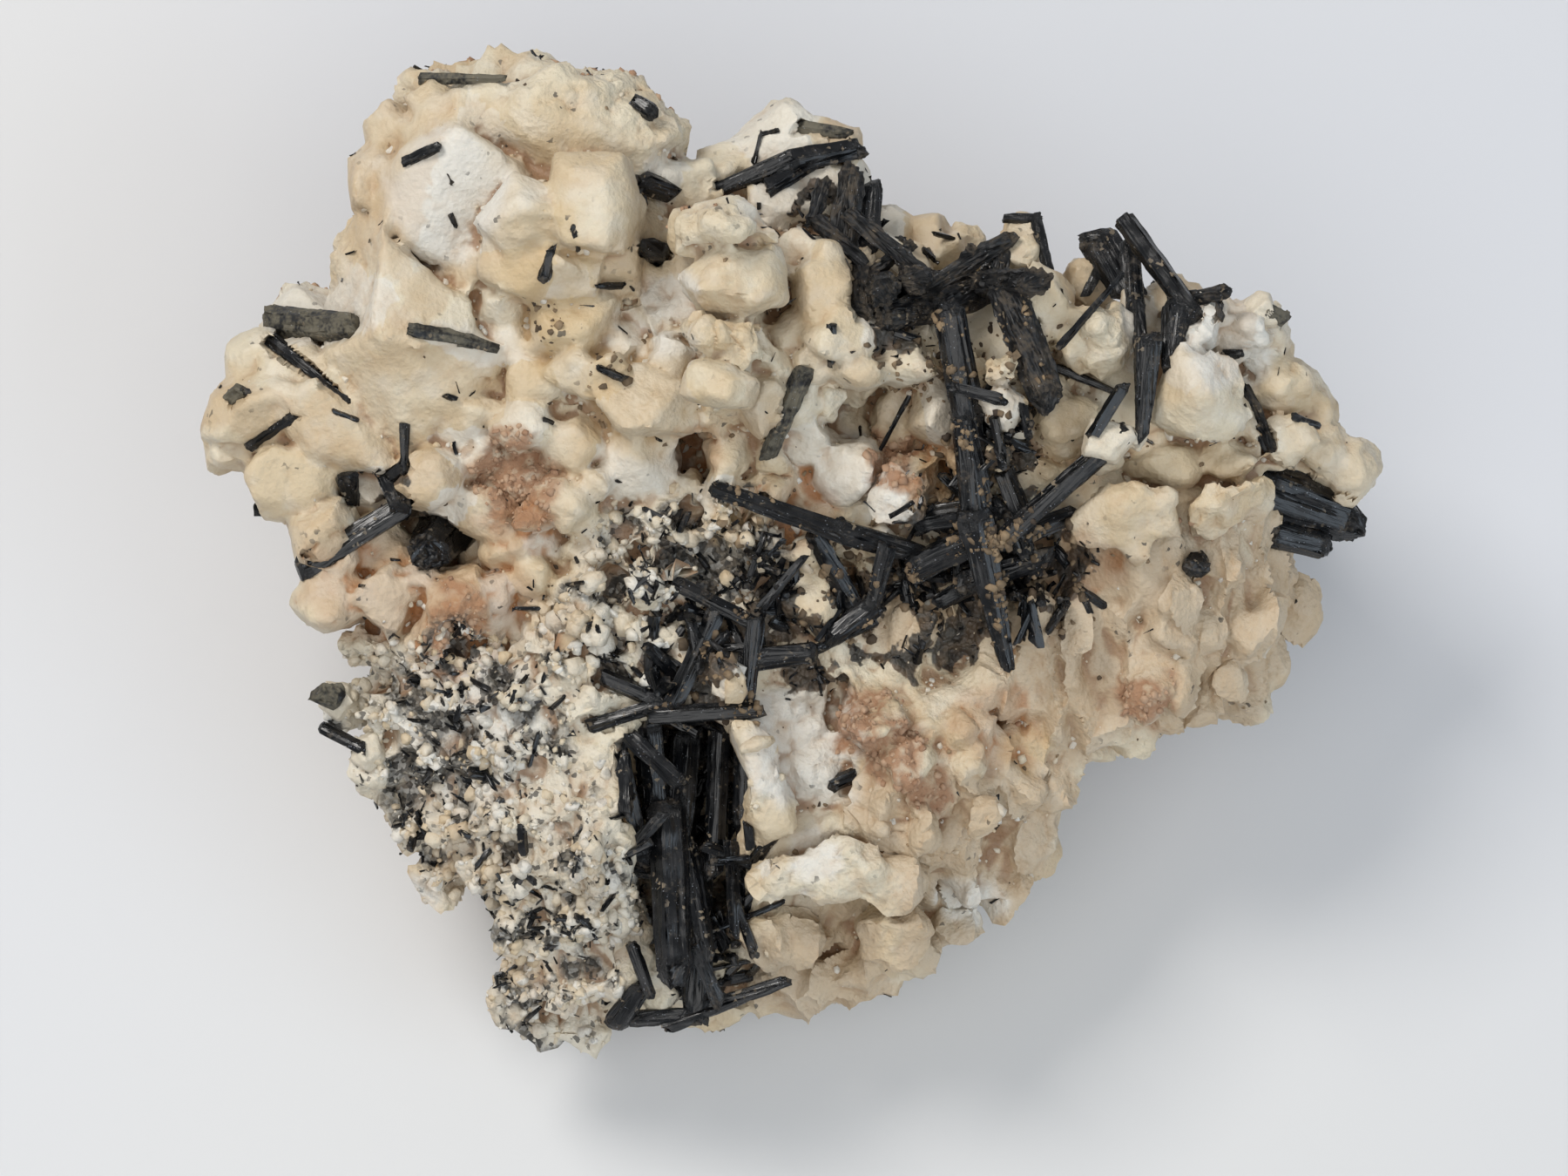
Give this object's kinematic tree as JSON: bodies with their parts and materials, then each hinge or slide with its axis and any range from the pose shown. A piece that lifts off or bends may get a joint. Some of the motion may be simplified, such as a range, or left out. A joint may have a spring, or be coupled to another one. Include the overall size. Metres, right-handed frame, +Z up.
{
  "type": "tourmaline specimen",
  "caption": "Hand specimen of black tourmaline: dark ribbed prisms grown through a knobbly mass of cream feldspar, broken flat below so that it rests face up.",
  "frame": {"origin": "middle of the bounding box, on the flat broken base", "axes": "+Z up from the base, +X along the longest side, +Y away from the viewer; the showing face looks up and leans towards -Y"},
  "size_m": [0.1332, 0.1116, 0.0685],
  "materials": {
    "feldspar": "cream feldspar, waxy to matte, with sugary white grains and iron stain",
    "schorl": "black tourmaline, ribbed and glassy, dusty on broken ends"
  },
  "bodies": {
    "root": {"feldspar_matrix": "feldspar", "schorl_blades": "schorl", "schorl_blades_2": "schorl", "schorl_blades_3": "schorl", "schorl_blades_4": "schorl", "schorl_block_flakes": "schorl", "schorl_brown_blade": "schorl", "schorl_crest_bar": "schorl", "schorl_crest_nub": "schorl", "schorl_crusty_bar": "schorl", "schorl_dark_nub": "schorl", "schorl_dark_slab": "schorl", "schorl_edge_bar": "schorl", "schorl_edge_nub": "schorl", "schorl_gap_nub": "schorl", "schorl_gap_plate": "schorl", "schorl_glossy_nub": "schorl", "schorl_grey_bar": "schorl", "schorl_left_bar": "schorl", "schorl_left_diagonal": "schorl", "schorl_left_nub": "schorl", "schorl_left_small_bar": "schorl", "schorl_long_diagonal": "schorl", "schorl_long_left": "schorl", "schorl_lump_brace": "schorl", "schorl_main_cluster": "schorl", "schorl_main_cluster_2": "schorl", "schorl_main_cluster_3": "schorl", "schorl_main_cluster_4": "schorl", "schorl_main_cluster_5": "schorl", "schorl_main_cluster_6": "schorl", "schorl_main_cluster_7": "schorl", "schorl_main_cluster_8": "schorl", "schorl_middle_right_bar": "schorl", "schorl_shoulder_crust": "schorl", "schorl_shoulder_nub": "schorl", "schorl_stem": "schorl", "schorl_stubby_prism": "schorl", "schorl_thin_grey": "schorl", "schorl_top_branch": "schorl", "schorl_top_flake": "schorl", "schorl_twin_needles": "schorl", "schorl_under_left": "schorl", "schorl_upper_spray": "schorl", "schorl_wedge_tip": "schorl"}
  },
  "joints": []
}
